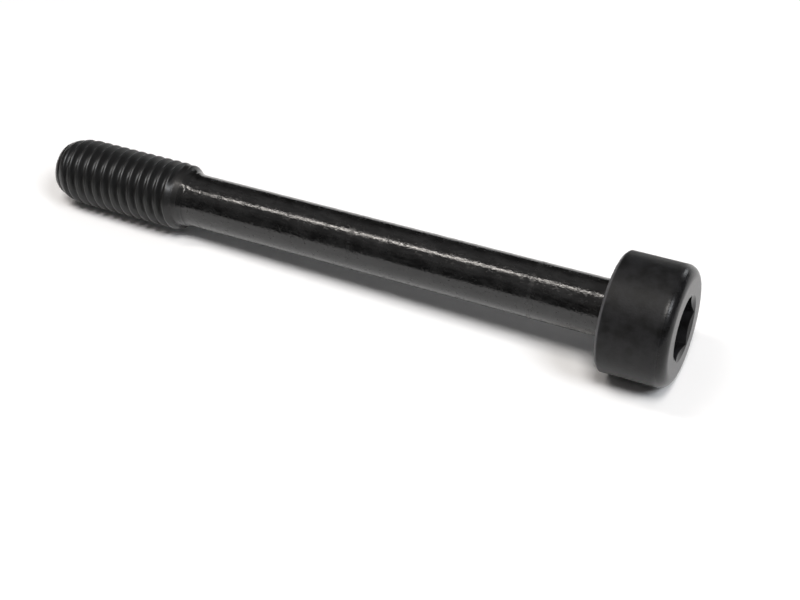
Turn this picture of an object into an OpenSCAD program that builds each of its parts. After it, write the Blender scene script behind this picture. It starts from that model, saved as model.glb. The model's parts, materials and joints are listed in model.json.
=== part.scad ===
// Hex socket cap screw with a reduced shank, lying on its side as it comes to rest.
// The screw is built upright, its tip at z = 0 and its head on top, and then laid down.

/* [Overall] */
// Length under the head, from the tip to the bearing face
screw_length = 70; // [45:1:100]

/* [Thread] */
// Major diameter of the thread
thread_d = 8; // [7.5:0.1:9]
// Distance between two crests along the screw
pitch = 1.25; // [1:0.05:1.5]
// Length of the thread, from the tip to the neck
thread_length = 16.6; // [12:0.2:30]
// Height of the first crest on the underside of the lying screw
thread_start = 0.36; // [0:0.02:1]
// Length over which the last groove grows shallow before the neck
runout_length = 0.8; // [0.4:0.1:3]
// Angle at which the last crest begins to sink, from the underside and with the helix
fade_start = 140; // [90:5:160]
// Angle at which the last crest is gone
fade_end = 200; // [180:5:250]
// Slope behind the last crest, measured from the axis
shoulder_angle = 36; // [25:1:50]

/* [Tip] */
// Diameter of the flat end
tip_d = 6.1; // [4:0.1:6.2]
// Length of the rounded point, up to the first full crest
tip_length = 3.6; // [1.5:0.1:4.5]
// Radius of the curve on which the first crests grow to full height
tip_curve_r = 7.5; // [4.6:0.1:9]

/* [Neck and shank] */
// Diameter of the plain shank
shank_d = 6.2; // [5:0.1:6.8]
// Length of the neck, from the thread to the shank
neck_length = 1.8; // [1.6:0.1:3]
// Slope of the neck, measured from the axis
neck_angle = 11; // [5:1:20]
// Radius of the hollow curve from the neck into the shank
neck_curve_r = 3; // [1:0.5:7]
// Radius of the fillet between the shank and the bearing face
head_fillet_r = 0.5; // [0.2:0.1:1.2]

/* [Head] */
// Diameter of the head
head_d = 13; // [11:0.1:16]
// Height of the head
head_height = 7.4; // [6.5:0.1:10]
// Chamfer on the rim of the bearing face
rim_chamfer = 0.25; // [0.1:0.05:0.6]
// Rounding of the front edge, on the socket's side
front_round_r = 1.25; // [0.5:0.05:1.8]

/* [Socket] */
// Width of the hexagon across its flats
socket_width = 6; // [4:0.1:7]
// Depth of the hexagon from the front face
socket_depth = 4.3; // [2.5:0.1:5]
// How far the countersunk mouth reaches past the hexagon's corners
mouth_margin = 0.14; // [0.05:0.01:0.6]
// Slope of the mouth, measured from the axis
mouth_angle = 66; // [30:1:75]
// Flat ledge on the floor of the socket, between its flats and its hollow
floor_ledge = 0.2; // [0.1:0.05:1.5]
// Depth of the hollow in the floor of the socket
floor_hollow = 0.3; // [0.1:0.1:0.8]
// Turn of the hexagon about the screw's axis
socket_turn = 30; // [0:5:60]

/* [Hidden] */

// Steps in one turn of the thread, along a curve of the turned profile and round a turned face
turn_steps = 48;
curve_steps = 12;
round_steps = 96;
// Turn that lays a flat of a faceted copy of the head on the floor, rather than an edge
flat_turn = 360 / 64 / 2;
// How far a cut runs past the face that it starts from
over = 0.5;
// Where the turned body takes over from the thread: it stands proud by the ledge, starts a little
// before the thread ends, and the thread's plug reaches into it
seam_ledge = 0.015;
seam_lap = 0.06;
plug_length = 0.5;

thread_r = thread_d / 2;
tip_r = tip_d / 2;
shank_r = shank_d / 2;
head_r = head_d / 2;
total_height = screw_length + head_height;

// Form of a metric thread: flats on crest and root as shares of the pitch, depth for 60 degree flanks
crest_half = 1 / 16;
root_half = 1 / 12;
root_r = thread_r - 17 / 24 * sqrt(3) / 2 * pitch;
phases = [crest_half, 0.5 - root_half, 0.5 + root_half, 1 - crest_half];
radii = [thread_r, root_r, root_r, thread_r];

// The neck: a slight cone from the thread, then a hollow curve that ends on the shank
neck_r = shank_r + neck_curve_r * (1 - cos(neck_angle));
neck_top_r = neck_r + neck_length * tan(neck_angle);
neck_z = thread_length + neck_length;
runout_z = thread_length - runout_length;
plug_r = 0.9 * shank_r;

// The last crest ends part of the way round its turn; these are its turn and the row of its far edge
last_turn = round((thread_length - thread_start) / pitch);
last_edge = 4 * last_turn;

// How the screw lies: on the rim of its head and on the crest of its underside that meets the floor
rest_tilt = min([for (n = [1:last_turn - 1]) for (side = [-1, 1])
    let (z = thread_start + pitch * (n + side * crest_half))
        atan((head_r - outer_r(z)) / (screw_length + rim_chamfer - z))]);
rest_z = head_r * cos(rest_tilt) - (screw_length + rim_chamfer) * sin(rest_tilt);
x_low = -tip_r * sin(rest_tilt);
x_high = (total_height - front_round_r) * cos(rest_tilt)
    + (head_r - front_round_r) * sin(rest_tilt) + front_round_r;

// Points of an arc about a centre, from one angle to another
function arc(centre, r, from, to) =
    [for (i = [0:curve_steps]) let (a = from + (to - from) * i / curve_steps)
        centre + r * [cos(a), sin(a)]];

// Greatest radius at a height: the end's chamfer, then the curve of the point
function chamfer_r(z) = tip_r + z;
function point_r(z) = z >= tip_length ? thread_r
    : thread_r - tip_curve_r + sqrt(pow(tip_curve_r, 2) - pow(tip_length - z, 2));
function outer_r(z) = min(chamfer_r(z), point_r(z));
// Least radius at a height: the last groove grows shallow up to the neck, which slopes to the shank
function inner_r(z) = z < runout_z ? 0
    : z < thread_length ? root_r + (neck_top_r - root_r) * (z - runout_z) / runout_length
    : neck_r + (neck_z - z) * tan(neck_angle);

// Grid of the thread: rows follow the helix, so each row keeps its place on the profile
first_row = -8;
last_row = 4 * ceil(neck_z / pitch) + 8;
rows = last_row - first_row + 1;
function row_part(row) = (row % 4 + 4) % 4;
// Angle of a step, from the underside
function turned(step) = 360 * step / turn_steps;
function row_z(row, step) =
    thread_start + pitch * (floor(row / 4) + phases[row_part(row)] + turned(step) / 360);
// Radius of the last crest, which sinks into the neck, and of the slope behind a crest's edge
function sunk_r(step) = root_r + (thread_r - root_r)
    * max(0, min(1, (fade_end - turned(step)) / (fade_end - fade_start)));
function shoulder_r(edge_r, edge, row, step) =
    edge_r - (row_z(row, step) - row_z(edge, step)) * tan(shoulder_angle);
// Radius of the last groove, which turns into the slope over the last quarter of its turn
function last_groove_r(row, step) = root_r + max(0, turned(step) - 270) / 90
    * max(0, shoulder_r(thread_r, last_edge - 4, row, step) - root_r);
function thread_row_r(row, step) =
    row > last_edge ? shoulder_r(sunk_r(step), last_edge, row, step)
    : row > last_edge - 2 ? sunk_r(step)
    : row > last_edge - 4 ? last_groove_r(row, step)
    : radii[row_part(row)];
function row_r(row, step, z) = max(min(thread_row_r(row, step), outer_r(z)), inner_r(z));
function at(step, r, z) = [r * cos(turned(step)), r * sin(turned(step)), z];

// Number of a grid point; points past either end fall together on that end's ring
snap = pitch / turn_steps / 2;
function vertex(step, row) = step == turn_steps ? vertex(0, row + 4)
    : let (z = row_z(row, step))
        z < snap ? step
        : z > neck_z - snap ? turn_steps + step
        : 3 * turn_steps + step * rows + row - first_row;
function is_face(t) = t[0] != t[1] && t[1] != t[2] && t[2] != t[0];

// Threaded end as one closed helical surface, from the flat end to the neck's curve
module threaded_end() {
    end_ring = [for (i = [0:turn_steps - 1]) at(i, outer_r(0), 0)];
    neck_ring = [for (i = [0:turn_steps - 1]) at(i, neck_r, neck_z)];
    plug_ring = [for (i = [0:turn_steps - 1]) at(i, plug_r, neck_z + plug_length)];
    grid = [for (i = [0:turn_steps - 1]) for (row = [first_row:last_row])
        let (z = row_z(row, i)) at(i, row_r(row, i, z), z)];
    sides = [for (i = [0:turn_steps - 1]) for (row = [first_row:last_row - 5])
        let (a = vertex(i, row), b = vertex(i, row + 1),
            c = vertex(i + 1, row + 1), d = vertex(i + 1, row))
        for (t = [[a, b, c], [a, c, d]]) if (is_face(t)) t];
    plug = [for (i = [0:turn_steps - 1])
        let (a = turn_steps + i, b = 2 * turn_steps + i,
            d = turn_steps + (i + 1) % turn_steps, c = turn_steps + d)
        for (t = [[a, b, c], [a, c, d]]) t];
    end_cap = [for (i = [0:turn_steps - 1]) i];
    plug_cap = [for (i = [turn_steps - 1:-1:0]) 2 * turn_steps + i];
    polyhedron(concat(end_ring, neck_ring, plug_ring, grid),
        concat([end_cap], sides, plug, [plug_cap]), convexity = 6);
}

// Neck curve, plain shank and head as one turned body
module turned_body() {
    neck_end = neck_z + neck_curve_r * sin(neck_angle);
    neck_curve = arc([shank_r + neck_curve_r + seam_ledge, neck_end], neck_curve_r,
        180 + neck_angle, 180);
    head_fillet = arc([shank_r + head_fillet_r, screw_length - head_fillet_r], head_fillet_r, 180, 90);
    front_edge = arc([head_r - front_round_r, total_height - front_round_r], front_round_r, 0, 90);
    rotate([0, 0, flat_turn])
        rotate_extrude($fn = round_steps)
            polygon(concat(
                [[0, neck_z - seam_lap],
                    [neck_r + seam_ledge + seam_lap * tan(neck_angle), neck_z - seam_lap]],
                neck_curve,
                [[shank_r, neck_end + neck_curve_r]],
                head_fillet,
                [[head_r - rim_chamfer, screw_length], [head_r, screw_length + rim_chamfer]],
                front_edge,
                [[0, total_height]]));
}

// Hexagon, its countersunk mouth and the hollow in its floor
module socket() {
    corner_r = socket_width / 2 / cos(30);
    mouth_r = corner_r + mouth_margin;
    mouth_slope = tan(mouth_angle);
    mouth_depth = (mouth_r - socket_width / 2) / mouth_slope + over / 2;
    floor_z = total_height - socket_depth;
    floor_r = socket_width / 2 - floor_ledge;
    translate([0, 0, floor_z])
        rotate([0, 0, socket_turn])
            cylinder(h = socket_depth + over, r = corner_r, $fn = 6);
    translate([0, 0, total_height - mouth_depth])
        cylinder(h = mouth_depth + over, r1 = mouth_r - mouth_depth * mouth_slope,
            r2 = mouth_r + over * mouth_slope, $fn = round_steps);
    translate([0, 0, floor_z])
        rotate_extrude($fn = round_steps)
            polygon([[0, -floor_hollow], [floor_r, 0], [floor_r, over], [0, over]]);
}

module cap_screw() {
    color([0.12, 0.12, 0.13])
        translate([-(x_low + x_high) / 2, 0, rest_z])
            rotate([0, 90 - rest_tilt, 0])
                difference() {
                    union() {
                        threaded_end();
                        turned_body();
                    }
                    socket();
                }
}

cap_screw();
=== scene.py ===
import json
import math

import bmesh
import bpy
from mathutils import Matrix, Vector


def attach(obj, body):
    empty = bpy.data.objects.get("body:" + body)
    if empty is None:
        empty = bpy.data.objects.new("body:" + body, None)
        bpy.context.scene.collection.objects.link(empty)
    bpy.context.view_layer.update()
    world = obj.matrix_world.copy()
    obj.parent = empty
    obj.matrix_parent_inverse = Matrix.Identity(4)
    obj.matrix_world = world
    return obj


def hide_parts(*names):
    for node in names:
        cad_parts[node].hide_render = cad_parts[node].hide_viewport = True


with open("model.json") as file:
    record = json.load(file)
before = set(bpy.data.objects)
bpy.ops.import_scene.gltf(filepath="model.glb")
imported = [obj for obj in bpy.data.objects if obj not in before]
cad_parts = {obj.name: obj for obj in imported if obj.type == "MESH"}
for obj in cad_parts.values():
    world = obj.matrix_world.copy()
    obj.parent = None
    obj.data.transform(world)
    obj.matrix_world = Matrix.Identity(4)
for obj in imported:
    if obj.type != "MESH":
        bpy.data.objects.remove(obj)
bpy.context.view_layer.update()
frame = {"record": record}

MM = 0.001
MOUNTS = {mount["name"]: mount for mount in frame["record"]["mounts"]}


def mount_size(mount, dimension):
    """A dimension of one of the record's mounts, in metres."""
    return MOUNTS[mount]["dims"][dimension] * MM


def along_axis(mount):
    """How far a mount lies from the screw's tip."""
    return (Vector(MOUNTS[mount]["pos_m"]) - TIP).dot(AXIS)


# Sizes and places that the frame states
AXIS = -Vector(MOUNTS["thread"]["axis"]).normalized()
THREAD_R = mount_size("thread", "r_mm")
THREAD_LENGTH = mount_size("thread", "length_mm")
TIP = Vector(MOUNTS["thread"]["pos_m"]) - AXIS * THREAD_LENGTH / 2
BEARING_Z = along_axis("bearing_face")
FRONT_Z = along_axis("hex_socket")
SHANK_R = mount_size("shank", "r_mm")
HEAD_R = mount_size("head_side", "r_mm")
SOCKET_HALF = mount_size("hex_socket", "r_mm")
SOCKET_DEPTH = mount_size("hex_socket", "length_mm")
REST_TILT = math.asin(AXIS.z)

# Thread and point. Half the width of a crest's top is a share of the pitch
PITCH = 1.25 * MM
FIRST_CREST = 0.36 * MM
CREST_HALF = 1 / 16
FLANK_SLOPE = math.sqrt(3)
THREAD_DEPTH = 17 / 24 * FLANK_SLOPE / 2 * PITCH
TIP_R = 3.05 * MM
TIP_LENGTH = 3.6 * MM
TIP_CURVE_R = 7.5 * MM
RUNOUT = 0.8 * MM
CREST_SOFTNESS = 0.16 * MM
ROOT_SOFTNESS = 0.3 * MM
EDGE_SOFTNESS = 0.2 * MM
SEAM_FADE = 0.5 * MM

# The last crest: its number, and the shares of a turn between which it sinks, the slope behind the
# crest before it begins, and the groove between the two is filled and then open again
LAST_CREST = round((THREAD_LENGTH - FIRST_CREST) / PITCH)
SINK = (140 / 360, 200 / 360)
JOIN = (180 / 360, 235 / 360)
FILL = (60 / 360, 140 / 360)
FILL_SHARE = 0.8

# The shoulder that the neck's turning left behind the thread, and the fine ring at the neck's end
SHOULDER_SLOPE = math.tan(math.radians(36))
SHOULDER_Z = 16.87 * MM
RING_Z = 18.2 * MM
RING_WIDTH = 0.12 * MM
RING_HEIGHT = 0.03 * MM

# Neck, shank and head
NECK_LENGTH = 1.8 * MM
NECK_ANGLE = math.radians(11)
NECK_CURVE_R = 3 * MM
FILLET_R = 0.5 * MM
RIM_CHAMFER = 0.25 * MM
FRONT_ROUND_R = 1.25 * MM
WORN_EDGE = 0.06 * MM

# The neck's slight cone ends in a hollow curve that leads it into the shank
NECK_Z = THREAD_LENGTH + NECK_LENGTH
NECK_R = SHANK_R + NECK_CURVE_R * (1 - math.cos(NECK_ANGLE))
NECK_CORNER_Z = NECK_Z + NECK_CURVE_R * math.tan(NECK_ANGLE / 2) * math.cos(NECK_ANGLE)

# Socket: a hexagon with a countersunk mouth and a shallow hollow in its floor
FLAT_TO_CORNER = math.radians(30)
MOUTH_MARGIN = 0.14 * MM
MOUTH_SLOPE = math.tan(math.radians(66))
MOUTH_R = SOCKET_HALF / math.cos(FLAT_TO_CORNER) + MOUTH_MARGIN
SOCKET_CORNER_R = 0.2 * MM
SOCKET_FLOOR_Z = FRONT_Z - SOCKET_DEPTH
FLOOR_LEDGE = 0.2 * MM
FLOOR_HOLLOW = 0.3 * MM

# Fineness of the mesh: columns round the screw, rows in one pitch and in the straight runs of the
# outline, and steps in a wide rounding and a narrow one
COLUMNS = 216
ROWS_PER_PITCH = 18
SHANK_ROWS = 24
SIDE_ROWS = 6
FACE_ROWS = 3
CENTRE_ROWS = 8
WIDE_STEPS = 14
NARROW_STEPS = 5

# Turns of the thread's grid past each of its ends, how near the ends of a straight run its first and
# last rows lie, also as the greatest share of the run, and how near to each other points are joined
SPARE_TURNS = 2
HOLDING = 0.06 * MM
HOLDING_SHARE = 1 / 4
MERGE = 0.001 * MM

# From the screw's own frame, tip at the origin and axis along Z, to where it lies, rolled a little
ROLLED = math.radians(-8)
LAID_DOWN = (Matrix.Translation(TIP) @ Matrix.Rotation(math.pi / 2 - REST_TILT, 4, "Y")
             @ Matrix.Rotation(ROLLED, 4, "Z"))

# A Mix node's sockets for colours, by number, because its other kinds of socket have the same names
FIRST_COLOUR = 6
SECOND_COLOUR = 7
MIXED_COLOUR = 2


class Socket:
    """An output of a node. Python operators on a number's socket add Math nodes."""

    def __init__(self, graph, socket):
        self.graph = graph
        self.socket = socket

    def out(self, name):
        """Another output of the same node."""
        return Socket(self.graph, self.socket.node.outputs[name])

    def __add__(self, other):
        return self.graph.math("ADD", self, other)

    def __sub__(self, other):
        return self.graph.math("SUBTRACT", self, other)

    def __rsub__(self, other):
        return self.graph.math("SUBTRACT", other, self)

    def __mul__(self, other):
        return self.graph.math("MULTIPLY", self, other)

    def __truediv__(self, other):
        return self.graph.math("DIVIDE", self, other)

    def __rtruediv__(self, other):
        return self.graph.math("DIVIDE", other, self)

    __radd__ = __add__
    __rmul__ = __mul__


class Graph:
    """Adds nodes to a shader or geometry tree."""

    def __init__(self, tree):
        self.tree = tree

    def node(self, kind, settings=None, sockets=None):
        """A node of a kind, given first its settings and then the values or links of its inputs."""
        made = self.tree.nodes.new(kind)
        for name, value in (settings or {}).items():
            setattr(made, name, value)
        for name, value in (sockets or {}).items():
            if isinstance(value, Socket):
                self.tree.links.new(value.socket, made.inputs[name])
            else:
                made.inputs[name].default_value = value
        return Socket(self, made.outputs[0]) if made.outputs else None

    def math(self, operation, *values):
        return self.node("ShaderNodeMath", {"operation": operation}, dict(enumerate(values)))

    def part_of(self, vector, letter):
        """The X, Y or Z of a vector."""
        return self.node("ShaderNodeSeparateXYZ", None, {"Vector": vector}).out(letter)

    def blend(self, factor, low, high):
        """A number that goes from low to high with the factor."""
        return self.node("ShaderNodeMapRange", None, {"Value": factor, "To Min": low, "To Max": high})

    def band(self, value, start, end):
        """0 before start and 1 past end, with a smooth step between."""
        return self.node("ShaderNodeMapRange", {"interpolation_type": "SMOOTHSTEP"},
                         {"Value": value, "From Min": start, "From Max": end})

    def mixed(self, factor, first, second):
        """A colour that goes from the first to the second with the factor."""
        return self.node("ShaderNodeMix", {"data_type": "RGBA"}, {
            "Factor": factor, FIRST_COLOUR: first, SECOND_COLOUR: second}).out(MIXED_COLOUR)


# Threaded end

def thread_sizes():
    """Named inputs of the thread's tree. The spare turns at each end shrink into the end rings."""
    turns = math.ceil(NECK_Z / PITCH) + 2 * SPARE_TURNS
    return {
        "Columns": COLUMNS, "Rows": turns * ROWS_PER_PITCH, "Turns": float(turns),
        "Pitch": PITCH, "First crest": FIRST_CREST, "Major radius": THREAD_R,
        "Depth": THREAD_DEPTH, "Tip radius": TIP_R, "Tip length": TIP_LENGTH,
        "Tip curve radius": TIP_CURVE_R, "Thread length": THREAD_LENGTH,
        "Neck height": NECK_Z, "Neck radius": NECK_R, "Neck slope": math.tan(NECK_ANGLE),
        "Run-out": RUNOUT, "Last crest": float(LAST_CREST), "Shoulder slope": SHOULDER_SLOPE,
        "Shoulder height": SHOULDER_Z, "Ring height": RING_Z, "Crest softness": CREST_SOFTNESS,
        "Root softness": ROOT_SOFTNESS, "Edge softness": EDGE_SOFTNESS,
    }


def named_inputs(tree, sizes):
    """Gives a geometry tree one input for each size and returns their sockets by name."""
    for name, size in sizes.items():
        kind = "NodeSocketInt" if isinstance(size, int) else "NodeSocketFloat"
        tree.interface.new_socket(name, in_out="INPUT", socket_type=kind)
    group = Graph(tree).node("NodeGroupInput")
    return {name: group.out(name) for name in sizes}


def point_radius(graph, size, height):
    """Greatest radius at a height: the end's chamfer, then the curve of the point."""
    chamfer = size["Tip radius"] + height
    before_full = graph.math("MAXIMUM", size["Tip length"] - height, 0.0)
    drop = graph.math("POWER", size["Tip curve radius"], 2.0) - before_full * before_full
    curve = size["Major radius"] - size["Tip curve radius"] + graph.math("SQRT", drop)
    return graph.math("SMOOTH_MIN", chamfer, curve, size["Edge softness"])


def neck_radius(graph, size, height):
    """Least radius at a height: the last groove grows shallow, then the neck slopes to the shank."""
    root = size["Major radius"] - size["Depth"]
    slope = size["Neck radius"] + (size["Neck height"] - height) * size["Neck slope"]
    neck_top = size["Neck radius"] + (size["Neck height"] - size["Thread length"]) * size["Neck slope"]
    share = (height - size["Thread length"]) / size["Run-out"] + 1
    neck = graph.math("MINIMUM", root + (neck_top - root) * share, slope)
    from_ring = graph.math("ABSOLUTE", height - size["Ring height"])
    return neck + graph.band(from_ring, RING_WIDTH, 0.0) * RING_HEIGHT


def crest_and_shoulder(graph, size, top, past):
    """A flank up to a crest's top and the gentler slope behind it. Past counts pitches from its middle."""
    front = top + (past + CREST_HALF) * size["Pitch"] * FLANK_SLOPE
    back = top - (past - CREST_HALF) * size["Pitch"] * size["Shoulder slope"]
    return graph.math("MINIMUM", front, back)


def last_groove_bottom(graph, size, crest, turn):
    """Radius of the last groove's bottom, filled for a part of its turn, and of the slope behind it."""
    fill = graph.band(turn, *FILL) - graph.band(turn, *SINK)
    in_last_groove = graph.math("GREATER_THAN", crest, size["Last crest"] - 1)
    past_last = graph.math("MAXIMUM", crest - size["Last crest"], 0.0)
    bottom = size["Major radius"] - size["Depth"] + size["Depth"] * fill * in_last_groove * FILL_SHARE
    return bottom - past_last * size["Pitch"] * size["Shoulder slope"]


def ridge_radius(graph, size, crest, turn):
    """Radius of the ridges at a count of crests and a turn. The last crest sinks away behind a turn."""
    major = size["Major radius"]
    root = major - size["Depth"]
    last = size["Last crest"]
    sunk_top = major - size["Depth"] * graph.band(turn, *SINK)
    on_last = graph.math("GREATER_THAN", crest, last - 0.5)
    top = major + (sunk_top - major) * on_last
    nearest = graph.math("MINIMUM", graph.math("ROUND", crest), last)
    from_crest = graph.math("ABSOLUTE", crest - nearest)
    flank = top + (CREST_HALF - from_crest) * size["Pitch"] * FLANK_SLOPE
    sinking = crest_and_shoulder(graph, size, sunk_top, crest - last)
    joining = crest_and_shoulder(graph, size, major, crest - last + 1)
    joining = root + (joining - root) * graph.band(turn, *JOIN)
    ridge = graph.math("MAXIMUM", flank, graph.math("MAXIMUM", sinking, joining))
    bottom = last_groove_bottom(graph, size, crest, turn)
    ridge = graph.math("SMOOTH_MAX", ridge, bottom, size["Root softness"])
    return graph.math("SMOOTH_MIN", ridge, top, size["Crest softness"])


def thread_radius(graph, size, height, turn):
    """Radius of the threaded end at a height and a turn about the axis."""
    crest = (height - size["First crest"]) / size["Pitch"] - turn
    ridge = ridge_radius(graph, size, crest, turn)
    point = point_radius(graph, size, height)
    ridge = graph.math("SMOOTH_MIN", ridge, point, size["Edge softness"])
    shoulder = size["Major radius"] - (height - size["Shoulder height"]) * size["Shoulder slope"]
    ridge = graph.math("SMOOTH_MIN", ridge, shoulder, size["Edge softness"])
    seam_fade = graph.math("MINIMUM", (size["Neck height"] - height) / SEAM_FADE, 1.0)
    neck = neck_radius(graph, size, height)
    return graph.math("SMOOTH_MAX", ridge, neck, size["Edge softness"] * seam_fade)


def thread_tree(finish):
    """Geometry tree of the threaded end: a grid whose rows follow the helix, cut off at two rings."""
    tree = bpy.data.node_groups.new("rolled_thread", "GeometryNodeTree")
    size = named_inputs(tree, thread_sizes())
    tree.interface.new_socket("Geometry", in_out="OUTPUT", socket_type="NodeSocketGeometry")
    graph = Graph(tree)
    grid = graph.node("GeometryNodeMeshGrid", None, {
        "Size X": 1.0, "Size Y": 1.0,
        "Vertices X": size["Columns"] + 1, "Vertices Y": size["Rows"] + 1})
    place = graph.node("GeometryNodeInputPosition")
    turn = graph.part_of(place, "X") + 0.5
    crest = (graph.part_of(place, "Y") + 0.5) * size["Turns"] - SPARE_TURNS
    height = size["First crest"] + size["Pitch"] * (crest + turn)
    height = graph.math("MAXIMUM", graph.math("MINIMUM", height, size["Neck height"]), 0.0)
    radius = thread_radius(graph, size, height, turn)
    angle = turn * math.tau
    point = graph.node("ShaderNodeCombineXYZ", None, {
        "X": radius * graph.math("COSINE", angle), "Y": radius * graph.math("SINE", angle), "Z": height})
    shape = graph.node("GeometryNodeSetPosition", None, {"Geometry": grid, "Position": point})
    shape = graph.node("GeometryNodeMergeByDistance", None, {"Geometry": shape, "Distance": MERGE})
    shape = graph.node("GeometryNodeRealizeInstances", None, {"Geometry": shape})
    shape = graph.node("GeometryNodeSetMaterial", None, {"Geometry": shape, "Material": finish})
    graph.node("NodeGroupOutput", None, {"Geometry": shape})
    return tree


def thread_mesh(finish):
    """The threaded end as a plain mesh, in the screw's own frame."""
    carrier = bpy.data.objects.new("thread_carrier", bpy.data.meshes.new("thread_carrier"))
    bpy.context.scene.collection.objects.link(carrier)
    modifier = carrier.modifiers.new("rolled_thread", "NODES")
    modifier.node_group = thread_tree(finish)
    sizes = thread_sizes()
    for item in modifier.node_group.interface.items_tree:
        if item.in_out == "INPUT":
            modifier[item.identifier] = sizes[item.name]
    shaped = carrier.evaluated_get(bpy.context.evaluated_depsgraph_get())
    mesh = bpy.data.meshes.new_from_object(shaped)
    bpy.data.objects.remove(carrier)
    return mesh


# Turned body and socket

def socket_wall(angle):
    """Distance from the axis to the hexagon's wall, its corners rounded, at an angle about the axis."""
    from_flat = abs((angle + FLAT_TO_CORNER) % (2 * FLAT_TO_CORNER) - FLAT_TO_CORNER)
    inner_half = SOCKET_HALF - SOCKET_CORNER_R
    if SOCKET_HALF * math.tan(from_flat) < inner_half * math.tan(FLAT_TO_CORNER):
        return SOCKET_HALF / math.cos(from_flat)
    centre = inner_half / math.cos(FLAT_TO_CORNER)
    off = FLAT_TO_CORNER - from_flat
    return centre * math.cos(off) + math.sqrt(SOCKET_CORNER_R ** 2 - (centre * math.sin(off)) ** 2)


def body_corners(angle):
    """Corners of the body's outline from the neck to the middle of the socket's floor.

    Each is a height, a radius, its rounding and the rows of the straight run that leads to it.
    """
    wall = socket_wall(angle)
    return [
        (NECK_Z, NECK_R, 0, 0),
        (NECK_CORNER_Z, SHANK_R, NECK_CURVE_R, 0),
        (BEARING_Z, SHANK_R, FILLET_R, SHANK_ROWS),
        (BEARING_Z, HEAD_R - RIM_CHAMFER, WORN_EDGE, FACE_ROWS),
        (BEARING_Z + RIM_CHAMFER, HEAD_R, WORN_EDGE, 1),
        (FRONT_Z, HEAD_R, FRONT_ROUND_R, SIDE_ROWS),
        (FRONT_Z, MOUTH_R, WORN_EDGE, FACE_ROWS),
        (FRONT_Z - (MOUTH_R - wall) / MOUTH_SLOPE, wall, WORN_EDGE, 1),
        (SOCKET_FLOOR_Z, wall, WORN_EDGE, SIDE_ROWS),
        (SOCKET_FLOOR_Z, SOCKET_HALF - FLOOR_LEDGE, WORN_EDGE, 1),
        (SOCKET_FLOOR_Z - FLOOR_HOLLOW, 0, 0, CENTRE_ROWS),
    ]


def end_corners(angle):
    """Corners of the flat end's outline, from its middle to the thread: the same at every angle."""
    return [(0, 0, 0, 0), (0, TIP_R, 0, CENTRE_ROWS)]


def corner_arc(before, corner, after, rounding):
    """Points of the arc that rounds a corner."""
    if rounding == 0:
        return [corner]
    back = (before - corner).normalized()
    on = (after - corner).normalized()
    half = back.angle(on) / 2
    centre = corner + (back + on).normalized() * rounding / math.sin(half)
    start = corner + back * rounding / math.tan(half) - centre
    end = corner + on * rounding / math.tan(half) - centre
    steps = WIDE_STEPS if rounding > FILLET_R else NARROW_STEPS
    turned = start.angle_signed(end)
    return [centre + Matrix.Rotation(-turned * step / steps, 2) @ start for step in range(steps + 1)]


def straight_run(start, end, rows):
    """Points between the ends of a run: one close to each end, and rows between."""
    if rows == 0:
        return []
    edge = min(HOLDING_SHARE, HOLDING / (end - start).length)
    shares = [edge + (1 - 2 * edge) * row / rows for row in range(rows + 1)]
    return [start.lerp(end, share) for share in shares]


def rounded_outline(corners):
    """Points along an outline, its corners rounded and its straight runs divided."""
    spots = [Vector(corner[:2]) for corner in corners]
    points = [spots[0]]
    for index in range(1, len(corners)):
        rounding, rows = corners[index][2:]
        after = spots[min(index + 1, len(spots) - 1)]
        arc = corner_arc(spots[index - 1], spots[index], after, rounding)
        points += straight_run(points[-1], arc[0], rows) + arc
    return points


def turned_faces(shape, corners_at):
    """Adds a body of near-round section to a mesh, one outline for each column."""
    columns = []
    for column in range(COLUMNS):
        angle = math.tau * column / COLUMNS
        columns.append([
            shape.verts.new((r * math.cos(angle), r * math.sin(angle), z))
            for z, r in rounded_outline(corners_at(angle))])
    for column, line in enumerate(columns):
        beside = columns[(column + 1) % COLUMNS]
        for row in range(len(line) - 1):
            shape.faces.new((line[row], beside[row], beside[row + 1], line[row + 1]))


# Numbers of the finishes, in the order in which the mesh holds them
THREAD, SHANK, HEAD, SOCKET = range(4)


def zone_finish(spot):
    """Number of the finish at a spot of the upright screw. The socket's begins below its mouth."""
    if spot.z < NECK_Z:
        return THREAD
    if spot.z < BEARING_Z - FILLET_R / 2:
        return SHANK
    mouth_z = FRONT_Z - (MOUTH_R - spot.xy.length) / MOUTH_SLOPE
    in_socket = spot.z > BEARING_Z + RIM_CHAMFER and spot.z < mouth_z - WORN_EDGE
    return SOCKET if in_socket and spot.xy.length < MOUTH_R else HEAD


def screw_mesh(finishes):
    """The whole screw as one closed mesh, where it lies."""
    mesh = thread_mesh(finishes[THREAD])
    shape = bmesh.new()
    shape.from_mesh(mesh)
    turned_faces(shape, end_corners)
    turned_faces(shape, body_corners)
    bmesh.ops.remove_doubles(shape, verts=shape.verts, dist=MERGE)
    bmesh.ops.dissolve_degenerate(shape, edges=shape.edges, dist=MERGE / 10)
    bmesh.ops.recalc_face_normals(shape, faces=shape.faces)
    for face in shape.faces:
        face.material_index = zone_finish(face.calc_center_median())
        face.smooth = True
    bmesh.ops.transform(shape, matrix=LAID_DOWN, verts=shape.verts)
    mesh.materials.clear()
    for finish in finishes:
        mesh.materials.append(finish)
    shape.to_mesh(mesh)
    shape.free()
    mesh.name = "black_cap_screw"
    return mesh


# Finishes. A pattern has a number of waves per metre across the screw and another along it. The
# first roughness of a pair is that of the dark patches, and the second that of the pale ones

def new_finish(name):
    """A material with an empty tree, and its graph."""
    material = bpy.data.materials.new(name)
    material.use_nodes = True
    material.node_tree.nodes.clear()
    return material, Graph(material.node_tree)


def screw_coordinates(graph):
    """Coordinates in the screw's own frame: Z runs along it from the tip."""
    return graph.node("ShaderNodeMapping", {"vector_type": "TEXTURE"}, {
        "Vector": graph.node("ShaderNodeTexCoord").out("Object"),
        "Location": TIP, "Rotation": LAID_DOWN.to_euler()})


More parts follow.
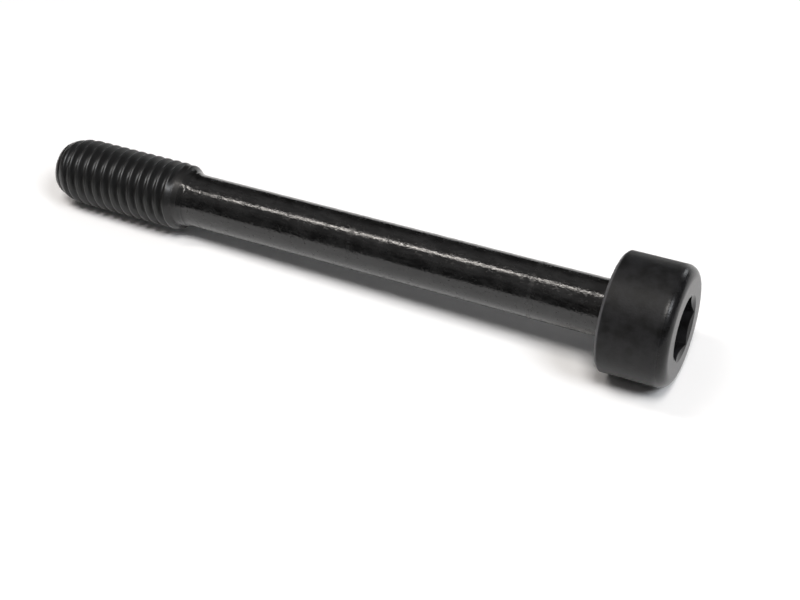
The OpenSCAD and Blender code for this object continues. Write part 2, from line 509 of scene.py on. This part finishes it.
def noise(graph, place, waves, detail=2.0):
    """A cloudy pattern with its waves per metre across and along the screw."""
    across, along = waves
    scaled = graph.node("ShaderNodeMapping", None, {"Vector": place, "Scale": (across, across, along)})
    return graph.node("ShaderNodeTexNoise", None, {"Vector": scaled, "Scale": 1.0, "Detail": detail})


def grained(graph, place, waves, height):
    """Normals of a surface with fine grain of a height."""
    grain = noise(graph, place, waves)
    return graph.node("ShaderNodeBump", None, {"Height": grain, "Distance": height})


def coated_steel(graph, colour, roughness, normal, specular):
    """Ends a finish in the shader of steel under a thin black coat."""
    shader = graph.node("ShaderNodeBsdfPrincipled", None, {
        "Base Color": colour, "Roughness": roughness, "Normal": normal,
        "Specular IOR Level": specular})
    graph.node("ShaderNodeOutputMaterial", None, {"Surface": shader})


# Thread, and the heights between which its neck grows glossy
THREAD_PATCHES = (900, 900)
THREAD_GRAIN = (5000, 5000)
THREAD_GRAIN_HEIGHT = 0.008 * MM
THREAD_DARK = (0.006, 0.006, 0.006, 1)
THREAD_PALE = (0.012, 0.012, 0.012, 1)
THREAD_ROUGHNESS = (0.3, 0.4)
THREAD_SPECULAR = 0.5
NECK_GLOSS = (17.3 * MM, 17.9 * MM)
NECK_ROUGHNESS = 0.16


def thread_finish():
    """Matt black oxide of the rolled thread, glossier on the turned neck."""
    material, graph = new_finish("black_thread")
    place = screw_coordinates(graph)
    patches = noise(graph, place, THREAD_PATCHES)
    colour = graph.mixed(patches, THREAD_DARK, THREAD_PALE)
    neck = graph.band(graph.part_of(place, "Z"), *NECK_GLOSS)
    roughness = graph.blend(neck, graph.blend(patches, *THREAD_ROUGHNESS), NECK_ROUGHNESS)
    normal = grained(graph, place, THREAD_GRAIN, THREAD_GRAIN_HEIGHT)
    coated_steel(graph, colour, roughness, normal, THREAD_SPECULAR)
    return material


# Shank. Streaks and mottle add up, and between the two sums its patches go from dark to pale. The
# pits lie where a noise passes its two limits. The turning marks have their heights, and how far
# off them they begin and are full
SHANK_STREAKS = (4000, 900)
SHANK_MOTTLE = (700, 400)
SHANK_SUMS = (0.75, 1.25)
SHANK_GRAIN = (5500, 3500)
SHANK_GRAIN_HEIGHT = 0.015 * MM
SHANK_DARK = (0.005, 0.005, 0.005, 1)
SHANK_PALE = (0.014, 0.014, 0.014, 1)
SHANK_ROUGHNESS = (0.09, 0.15)
SHANK_SPECULAR = 0.6
PIT_WAVES = (2600, 1800)
PIT_LIMITS = (0.56, 0.68)
PIT_BLACK = (0.002, 0.002, 0.002, 1)
PIT_ROUGHNESS = 0.25
TURNING_MARKS = (40.2 * MM, 61.5 * MM)
MARK_FADE = (0.4 * MM, 0.1 * MM)
MARK_ROUGHNESS = 0.15


def shank_finish():
    """Turned and blackened shank: glossier, with streaks, small pits and two faint rings."""
    material, graph = new_finish("black_shank")
    place = screw_coordinates(graph)
    streaks = noise(graph, place, SHANK_STREAKS)
    mottle = noise(graph, place, SHANK_MOTTLE)
    patches = graph.band(streaks + mottle, *SHANK_SUMS)
    pits = graph.band(noise(graph, place, PIT_WAVES), *PIT_LIMITS)
    height = graph.part_of(place, "Z")
    from_marks = [graph.math("ABSOLUTE", height - mark_z) for mark_z in TURNING_MARKS]
    marks = sum(graph.band(from_mark, *MARK_FADE) for from_mark in from_marks)
    colour = graph.mixed(patches, SHANK_DARK, SHANK_PALE)
    colour = graph.mixed(pits, colour, PIT_BLACK)
    roughness = graph.blend(patches, *SHANK_ROUGHNESS) + pits * PIT_ROUGHNESS + marks * MARK_ROUGHNESS
    normal = grained(graph, place, SHANK_GRAIN, SHANK_GRAIN_HEIGHT)
    coated_steel(graph, colour, roughness, normal, SHANK_SPECULAR)
    return material


# Head and socket. Their patches lie between two limits of the noise. The front edge grows smooth
# between two heights, and the pale grey of a painted highlight on the rim chamfer begins and ends close to
# the bearing face
HEAD_PATCHES = (800, 800)
HEAD_PATCH_DETAIL = 3.0
HEAD_PATCH_LIMITS = (0.3, 0.7)
HEAD_GRAIN = (5000, 5000)
HEAD_GRAIN_HEIGHT = 0.014 * MM
HEAD_DARK = (0.005, 0.005, 0.005, 1)
HEAD_PALE = (0.013, 0.013, 0.014, 1)
HEAD_ROUGHNESS = (0.42, 0.56)
HEAD_SPECULAR = 0.26
# The socket reflects less than the head: painted shade in the recess
SOCKET_SHADE_SPECULAR = 0.1
FRONT_EDGE = (FRONT_Z - 1.5 * MM, FRONT_Z - 0.8 * MM)
FRONT_EDGE_ROUGHNESS = 0.26
RIM_START = (BEARING_Z, BEARING_Z + 0.03 * MM)
RIM_END = (BEARING_Z + 0.4 * MM, BEARING_Z + 0.2 * MM)
# Pale grey painted on the rim chamfer: a painted highlight
RIM_HIGHLIGHT_GREY = (0.09, 0.09, 0.095, 1)


def forged_finish(name, specular):
    """Matt forged steel of the head and its socket, its front edge smoother, with a painted highlight in
    pale grey on its rim chamfer.
    """
    material, graph = new_finish(name)
    place = screw_coordinates(graph)
    height = graph.part_of(place, "Z")
    patches = noise(graph, place, HEAD_PATCHES, HEAD_PATCH_DETAIL)
    # Band of the rim chamfer that carries the painted highlight
    rim_highlight = graph.band(height, *RIM_END) * graph.band(height, *RIM_START)
    colour = graph.mixed(graph.band(patches, *HEAD_PATCH_LIMITS), HEAD_DARK, HEAD_PALE)
    colour = graph.mixed(rim_highlight, colour, RIM_HIGHLIGHT_GREY)
    edge = graph.band(height, *FRONT_EDGE)
    roughness = graph.blend(edge, graph.blend(patches, *HEAD_ROUGHNESS), FRONT_EDGE_ROUGHNESS)
    normal = grained(graph, place, HEAD_GRAIN, HEAD_GRAIN_HEIGHT)
    coated_steel(graph, colour, roughness, normal, specular)
    return material


def cap_screw():
    """The screw in its finishes, in the place of the plain solid."""
    head = forged_finish("black_head", HEAD_SPECULAR)
    socket = forged_finish("black_socket", SOCKET_SHADE_SPECULAR)
    mesh = screw_mesh([thread_finish(), shank_finish(), head, socket])
    screw = bpy.data.objects.new("black_cap_screw", mesh)
    bpy.context.scene.collection.objects.link(screw)
    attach(screw, "root")
    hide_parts("cap_screw")


# Surroundings: a floor, lamps all as far from the screw, and a sky that grows brighter between two
# heights above the horizon, given as the sine of the angle
FLOOR_HALF = 3.0
FLOOR_WHITE = (1, 1, 1, 1)
LAMPS_AIM = Vector((0, 0, 0.006))
LAMPS_DISTANCE = 1.0
SKY_COLOUR = (1.0, 0.97, 0.97, 1)
SKY_RISE = (0.4, 0.85)
SKY_STRENGTH = (0.012, 0.26)


def floor():
    """A wide pale floor under the screw."""
    mesh = bpy.data.meshes.new("pale_floor")
    corners = [(-FLOOR_HALF, -FLOOR_HALF, 0), (FLOOR_HALF, -FLOOR_HALF, 0),
               (FLOOR_HALF, FLOOR_HALF, 0), (-FLOOR_HALF, FLOOR_HALF, 0)]
    mesh.from_pydata(corners, [], [(0, 1, 2, 3)])
    material, graph = new_finish("pale_floor")
    diffuse = graph.node("ShaderNodeBsdfDiffuse", None, {"Color": FLOOR_WHITE})
    graph.node("ShaderNodeOutputMaterial", None, {"Surface": diffuse})
    mesh.materials.append(material)
    plane = bpy.data.objects.new("pale_floor", mesh)
    bpy.context.scene.collection.objects.link(plane)


def lamp(name, toward, width, length, share, colour):
    """A round or long lamp in a direction from the screw. It gives its share of the floor's white."""
    data = bpy.data.lights.new(name, "AREA")
    data.shape = "ELLIPSE"
    data.size = width
    data.size_y = length
    data.color = colour
    toward = Vector(toward).normalized()
    data.energy = math.pi ** 2 * LAMPS_DISTANCE ** 2 * share / toward.z
    body = bpy.data.objects.new(name, data)
    body.location = LAMPS_AIM + toward * LAMPS_DISTANCE
    body.rotation_euler = toward.to_track_quat("Z", "Y").to_euler()
    bpy.context.scene.collection.objects.link(body)


def lights():
    lamp("broad_front", toward=(0.17, -0.33, 0.93), width=0.3, length=0.3,
         share=0.46, colour=(1.0, 0.97, 0.94))
    lamp("cool_side", toward=(0.6, -0.19, 0.77), width=0.35, length=0.35,
         share=0.34, colour=(0.93, 0.96, 1.0))
    lamp("long_key", toward=(-0.4, -0.115, 0.91), width=0.045, length=0.45,
         share=0.17, colour=(1.0, 0.95, 0.9))
    lamp("low_back", toward=(0.25, 0.92, 0.28), width=0.3, length=0.3,
         share=0.03, colour=(0.95, 0.98, 1.0))


def sky():
    """Dark near the horizon and brighter above."""
    world = bpy.data.worlds.new("plain_sky")
    world.use_nodes = True
    world.node_tree.nodes.clear()
    graph = Graph(world.node_tree)
    toward = graph.node("ShaderNodeTexCoord").out("Generated")
    rise = graph.band(graph.part_of(toward, "Z"), *SKY_RISE)
    back = graph.node("ShaderNodeBackground", None, {
        "Color": SKY_COLOUR, "Strength": graph.blend(rise, *SKY_STRENGTH)})
    graph.node("ShaderNodeOutputWorld", None, {"Surface": back})
    bpy.context.scene.world = world


# Camera, set about the screw's axis: how far along it from the tip, how far off it, how high round it
CAMERA_ALONG = 102.7 * MM
CAMERA_OFF = 137.58 * MM
CAMERA_RISE = math.radians(43)
CAMERA_PAN = math.radians(22.206)
CAMERA_TILT = math.radians(-1.889)
CAMERA_ROLL = math.radians(14.798)
FOCAL_MM = 60.94
SENSOR_MM = 36
SEEN_FROM = 5 * MM
SEEN_TO = 50


def camera():
    """A camera in the photo's place."""
    data = bpy.data.cameras.new("camera")
    data.lens = FOCAL_MM
    data.sensor_width = SENSOR_MM
    data.clip_start = SEEN_FROM
    data.clip_end = SEEN_TO
    body = bpy.data.objects.new("camera", data)
    body.matrix_world = (
        Matrix.Translation(TIP)
        @ Matrix.Rotation(-REST_TILT, 4, "Y")
        @ Matrix.Rotation(-CAMERA_RISE, 4, "X")
        @ Matrix.Translation((CAMERA_ALONG, -CAMERA_OFF, 0))
        @ Matrix.Rotation(CAMERA_PAN, 4, "Z")
        @ Matrix.Rotation(math.pi / 2 + CAMERA_TILT, 4, "X")
        @ Matrix.Rotation(CAMERA_ROLL, 4, "Z"))
    bpy.context.scene.collection.objects.link(body)
    bpy.context.scene.camera = body


camera()
cap_screw()
floor()
lights()
sky()
bpy.context.scene.view_settings.view_transform = "Standard"
